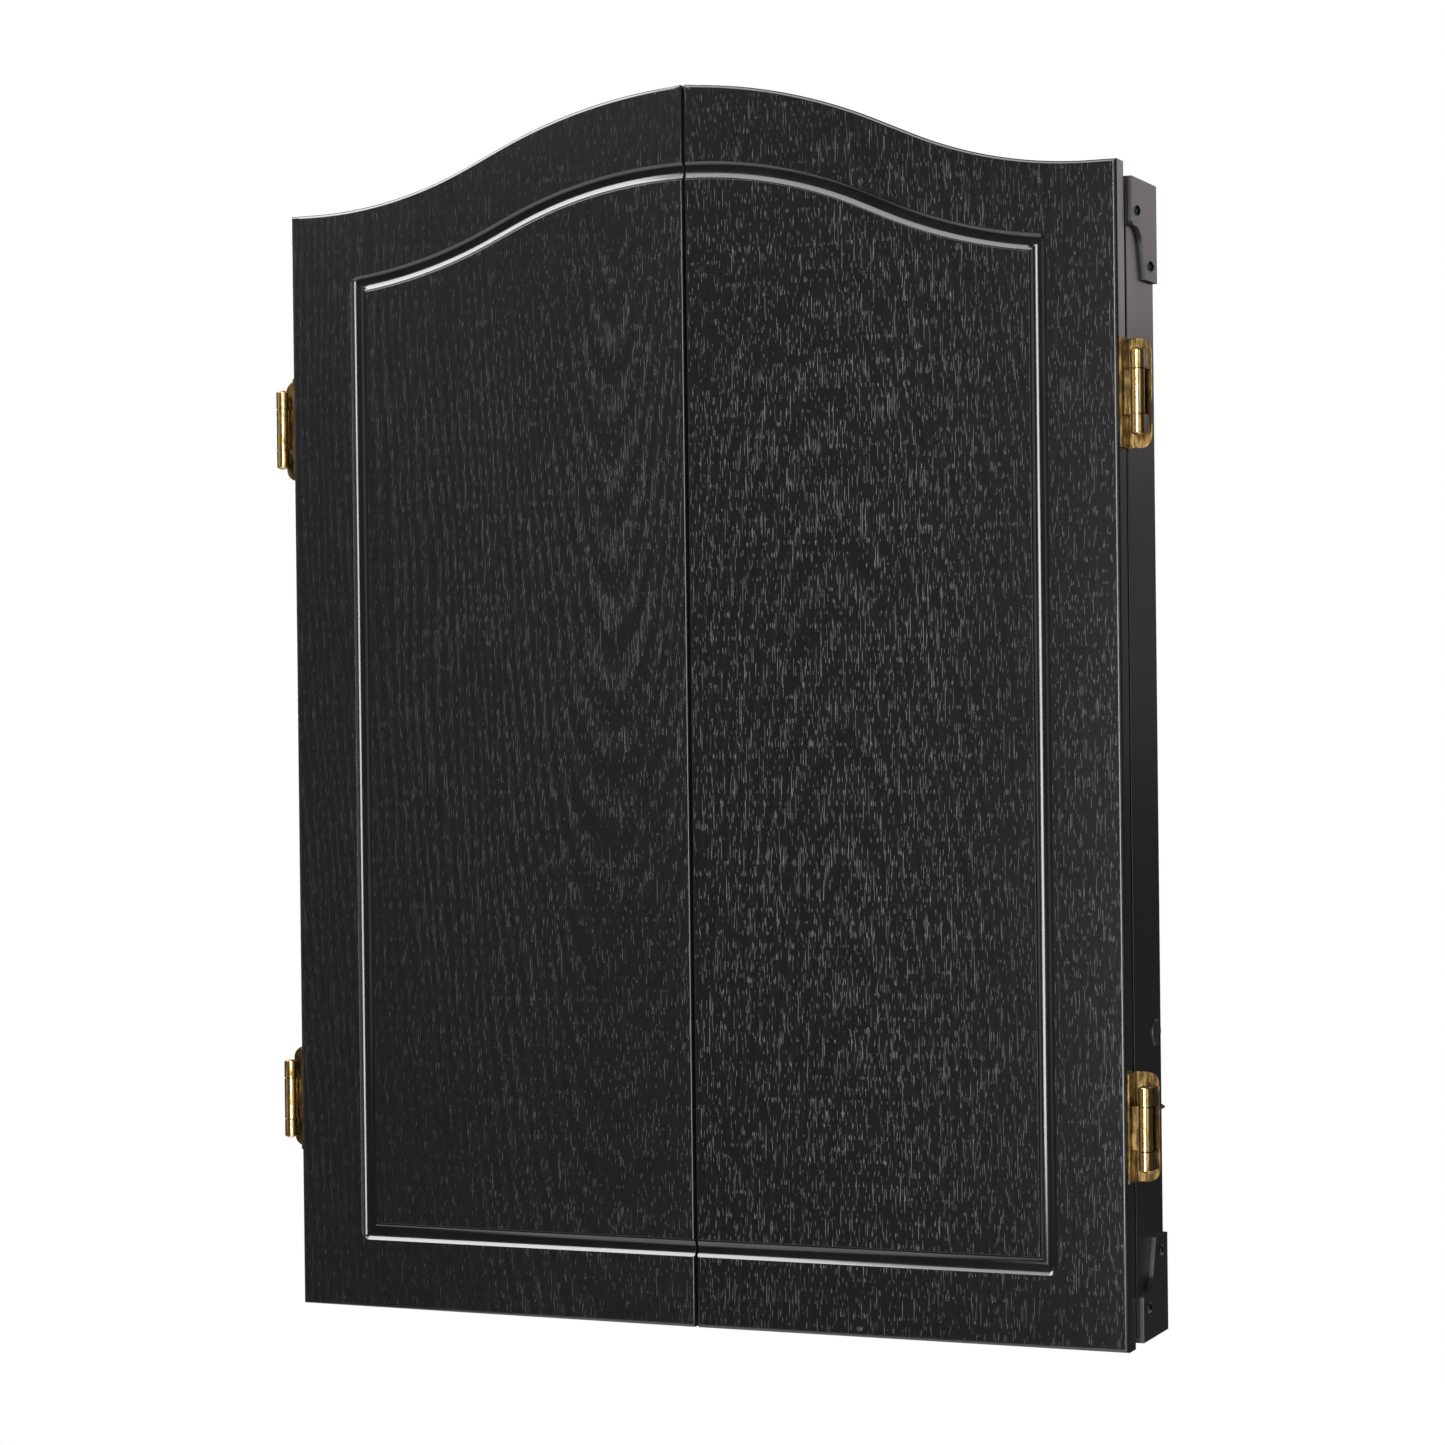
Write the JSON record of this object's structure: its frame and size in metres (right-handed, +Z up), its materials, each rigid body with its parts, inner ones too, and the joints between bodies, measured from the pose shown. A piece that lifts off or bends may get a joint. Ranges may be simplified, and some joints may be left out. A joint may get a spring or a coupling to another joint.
{
  "type": "dart board cabinet",
  "caption": "Shallow wall-hung wooden box with arched, grooved double doors on side hinges that open flat to show a dart board and scoreboards.",
  "frame": {"origin": "on the wall plane, straight behind the centre of the dart board and at the middle of the four wall holes", "axes": "+X to the right seen from the front, +Y back into the wall, +Z up"},
  "size_m": [0.538, 0.07, 0.707],
  "materials": {
    "black_veneer": "open-grain veneer stained black, satin lacquer",
    "black_paint": "smooth satin black paint",
    "back_plywood": "thin plywood, dark stained inside, unfinished behind",
    "zinc_steel": "bright zinc plated sheet steel",
    "zinc_screws": "bright zinc plated",
    "black_steel": "black lacquered sheet steel",
    "black_screws": "blackened steel",
    "antique_brass": "antique brass plate, darker in the hollows",
    "brass_pins": "antique brass, rubbed bright",
    "brass_screws": "antique brass",
    "cap_plastic": "dark grey moulded plastic",
    "catch_plastic": "black moulded plastic",
    "pole_steel": "plain steel",
    "bumper_rubber": "soft black rubber",
    "score_surface": "matt writing surface for chalk",
    "black_trim": "wood stained black"
  },
  "bodies": {
    "box": {"side_rail_left": "black_paint", "side_rail_right": "black_paint", "top_rail": "black_paint", "bottom_rail": "black_paint", "back_panel": "back_plywood", "upper_batten": "black_paint", "lower_batten": "black_paint", "board_bracket": "zinc_steel", "board_bracket_screws": "zinc_screws", "corner_bracket_upper_left": "black_steel", "corner_bracket_upper_right": "black_steel", "corner_bracket_lower_left": "black_steel", "corner_bracket_lower_right": "black_steel", "corner_bracket_screws": "black_screws", "side_cap": "cap_plastic", "side_stud": "black_screws", "catch_upper": "catch_plastic", "catch_lower": "catch_plastic", "catch_magnets": "pole_steel", "catch_screws": "zinc_screws", "door_bumpers": "bumper_rubber", "frame_leaf_upper_left": "antique_brass", "frame_leaf_upper_right": "antique_brass", "frame_leaf_lower_left": "antique_brass", "frame_leaf_lower_right": "antique_brass", "hinge_pin_upper_left": "brass_pins", "hinge_pin_upper_right": "brass_pins", "hinge_pin_lower_left": "brass_pins", "hinge_pin_lower_right": "brass_pins", "frame_leaf_screws": "brass_screws"},
    "door_left": {"left_door": "black_veneer", "scoreboard_left": "score_surface", "scoreboard_trim_left": "black_trim", "chalk_tray_left": "black_trim", "dart_rack_left": "black_trim", "strike_plates_left": "pole_steel", "strike_screws_left": "zinc_screws", "door_leaf_upper_left": "antique_brass", "door_leaf_lower_left": "antique_brass", "door_leaf_screws_left": "brass_screws"},
    "door_right": {"right_door": "black_veneer", "scoreboard_right": "score_surface", "scoreboard_trim_right": "black_trim", "chalk_tray_right": "black_trim", "dart_rack_right": "black_trim", "strike_plates_right": "pole_steel", "strike_screws_right": "zinc_screws", "door_leaf_upper_right": "antique_brass", "door_leaf_lower_right": "antique_brass", "door_leaf_screws_right": "brass_screws"}
  },
  "joints": [
    {"name": "left_door_hinge", "type": "hinge", "parent": "box", "child": "door_left", "pos_m": [-0.2645, -0.0655, 0], "axis": [0, 0, -1], "range_deg": [0, 180]},
    {"name": "right_door_hinge", "type": "hinge", "parent": "box", "child": "door_right", "pos_m": [0.2645, -0.0655, 0], "axis": [0, 0, 1], "range_deg": [0, 180]}
  ]
}
